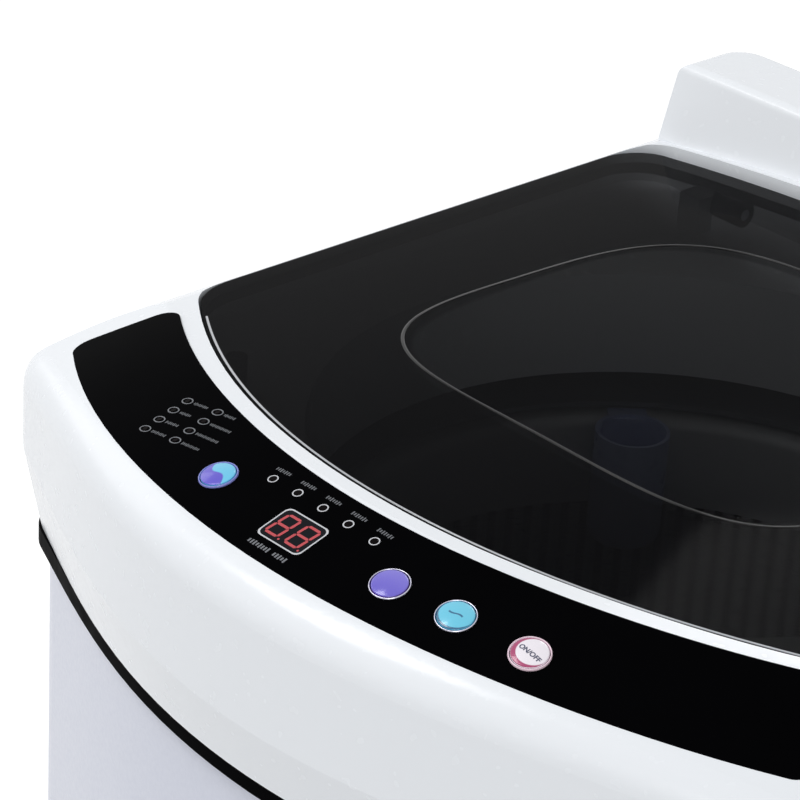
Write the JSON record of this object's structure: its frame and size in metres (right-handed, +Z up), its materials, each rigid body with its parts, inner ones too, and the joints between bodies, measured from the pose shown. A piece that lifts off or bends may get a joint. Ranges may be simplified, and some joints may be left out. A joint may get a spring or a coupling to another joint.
{
  "type": "top load washing machine",
  "caption": "Fully automatic top load washing machine with a bowed front, smoked one-piece lid, push-button panel, hung tub, spin basket, pulsator and belt drive.",
  "frame": {"origin": "on the floor, under the middle of the machine's footprint", "axes": "+Z up, -Y towards the user at the bowed front, +X to the machine's right as seen from the front"},
  "size_m": [0.516, 0.536, 0.905],
  "materials": {
    "white_moulding": "gloss",
    "painted_steel": "satin",
    "black_gloss": "gloss",
    "black_trim": "satin",
    "smoked_lid": "gloss",
    "cyan_button": "gloss",
    "purple_button": "gloss",
    "white_button": "gloss",
    "bezel": "satin",
    "lens": "gloss",
    "display": "gloss",
    "circuit_board": "satin",
    "grey_plastic": "matte",
    "black_plastic": "matte",
    "tub_plastic": "satin",
    "stainless": "brushed",
    "zinc_steel": "satin",
    "cast_alloy": "satin",
    "rubber": "matte"
  },
  "bodies": {
    "cabinet_body": {"cabinet": "painted_steel", "base": "grey_plastic", "fixed_feet": "black_plastic", "foot_locknut": "zinc_steel", "bottom_guard": "grey_plastic", "back_cover": "zinc_steel", "back_cover_screws": "zinc_steel", "cord_gland": "black_plastic", "drain_grommet": "rubber", "left_handle": "white_moulding", "right_handle": "white_moulding", "run_capacitor": "cast_alloy", "trim_strip": "black_trim", "top_cover": "white_moulding", "lid_bumpers": "rubber", "lid_hinge_pins": "zinc_steel", "lid_switch": "black_trim", "control_panel": "black_gloss", "button_bezels": "bezel", "display_window": "black_gloss", "display_module": "display", "indicator_lenses": "lens", "control_board": "circuit_board", "tact_switches": "black_plastic", "panel_tray": "grey_plastic", "rear_console": "white_moulding", "cover_screws": "zinc_steel", "inlet_valve": "tub_plastic", "water_inlet_box": "grey_plastic", "pressure_switch": "grey_plastic", "corner_brackets": "zinc_steel", "suspension_rods": "zinc_steel", "suspension_springs": "zinc_steel"},
    "lid": {"lid": "smoked_lid"},
    "program_button": {"program_button": "cyan_button"},
    "process_button": {"process_button": "purple_button"},
    "water_level_button": {"water_level_button": "cyan_button"},
    "power_button": {"power_button": "white_button"},
    "tub": {"outer_tub": "tub_plastic", "tub_cover": "grey_plastic", "damper_cups": "black_plastic", "drive_mount": "zinc_steel", "gearbox": "cast_alloy", "motor": "cast_alloy", "drain_valve": "grey_plastic", "drain_motor": "black_plastic", "drive_belt": "rubber"},
    "basket": {"basket": "stainless", "balance_ring": "tub_plastic", "basket_hub": "cast_alloy", "softener_cup": "white_moulding"},
    "lint_filter": {"lint_filter": "tub_plastic"},
    "pulsator": {"pulsator": "tub_plastic", "pulsator_screw": "zinc_steel"},
    "clutch_pulley": {"clutch_pulley": "cast_alloy"},
    "motor_pulley": {"motor_pulley": "cast_alloy"},
    "adjustable_foot": {"adjustable_foot": "black_plastic"},
    "detergent_drawer": {"detergent_drawer": "white_moulding"},
    "lid_switch_lever": {"lid_switch_lever": "black_trim"},
    "drain_plunger": {"drain_plunger": "grey_plastic"}
  },
  "joints": [
    {"name": "lid_hinge", "type": "hinge", "parent": "cabinet_body", "child": "lid", "pos_m": [0, 0.181, 0.858], "axis": [-1, 0, 0], "range_deg": [0, 100]},
    {"name": "program_button_press", "type": "slide", "parent": "cabinet_body", "child": "program_button", "axis": [0.0822, 0.2611, -0.9618], "range_m": [0, 0.0008], "stiffness_N_per_m": 1200, "springref_m": -0.0004},
    {"name": "process_button_press", "type": "slide", "parent": "cabinet_body", "child": "process_button", "axis": [-0.0607, 0.2627, -0.963], "range_m": [0, 0.0008], "stiffness_N_per_m": 1200, "springref_m": -0.0004},
    {"name": "water_level_button_press", "type": "slide", "parent": "cabinet_body", "child": "water_level_button", "axis": [-0.1026, 0.26, -0.9601], "range_m": [0, 0.0008], "stiffness_N_per_m": 1200, "springref_m": -0.0004},
    {"name": "power_button_press", "type": "slide", "parent": "cabinet_body", "child": "power_button", "axis": [-0.1471, 0.2566, -0.9552], "range_m": [0, 0.0008], "stiffness_N_per_m": 1200, "springref_m": -0.0004},
    {"name": "tub_suspension", "type": "slide", "parent": "cabinet_body", "child": "tub", "axis": [0, 0, 1], "range_m": [-0.018, 0.005], "stiffness_N_per_m": 12000, "springref_m": 0.0203, "deforming": ["suspension_springs"]},
    {"name": "basket_spin", "type": "hinge", "parent": "tub", "child": "basket", "pos_m": [0, -0.002, 0], "axis": [0, 0, 1], "continuous": true},
    {"name": "lint_filter_lift", "type": "slide", "parent": "basket", "child": "lint_filter", "axis": [0, 0, 1], "range_m": [0, 0.02]},
    {"name": "pulsator_spin", "type": "hinge", "parent": "tub", "child": "pulsator", "pos_m": [0, -0.002, 0], "axis": [0, 0, 1], "continuous": true},
    {"name": "clutch_pulley_spin", "type": "hinge", "parent": "tub", "child": "clutch_pulley", "pos_m": [0, -0.002, 0], "axis": [0, 0, 1], "continuous": true},
    {"name": "motor_pulley_spin", "type": "hinge", "parent": "tub", "child": "motor_pulley", "pos_m": [-0.13595, 0.06139, 0], "axis": [0, 0, 1], "continuous": true},
    {"name": "foot_height", "type": "slide", "parent": "cabinet_body", "child": "adjustable_foot", "axis": [0, 0, 1], "range_m": [0, 0.005]},
    {"name": "drawer_slide", "type": "slide", "parent": "cabinet_body", "child": "detergent_drawer", "axis": [0, -1, 0], "range_m": [0, 0.06]},
    {"name": "lid_switch_turn", "type": "hinge", "parent": "cabinet_body", "child": "lid_switch_lever", "pos_m": [0.195, 0.168, 0.828], "axis": [-1, 0, 0], "range_deg": [0, 12]},
    {"name": "drain_pull", "type": "slide", "parent": "tub", "child": "drain_plunger", "axis": [-1, 0, 0], "range_m": [0, 0.01], "stiffness_N_per_m": 300, "springref_m": -0.008}
  ],
  "couplings": [
    {"joint": "motor_pulley_spin", "follows": "clutch_pulley_spin", "ratio": 3.487},
    {"joint": "pulsator_spin", "follows": "clutch_pulley_spin", "ratio": 0.1923},
    {"joint": "lid_switch_turn", "follows": "lid_hinge", "ratio": 0.12}
  ]
}
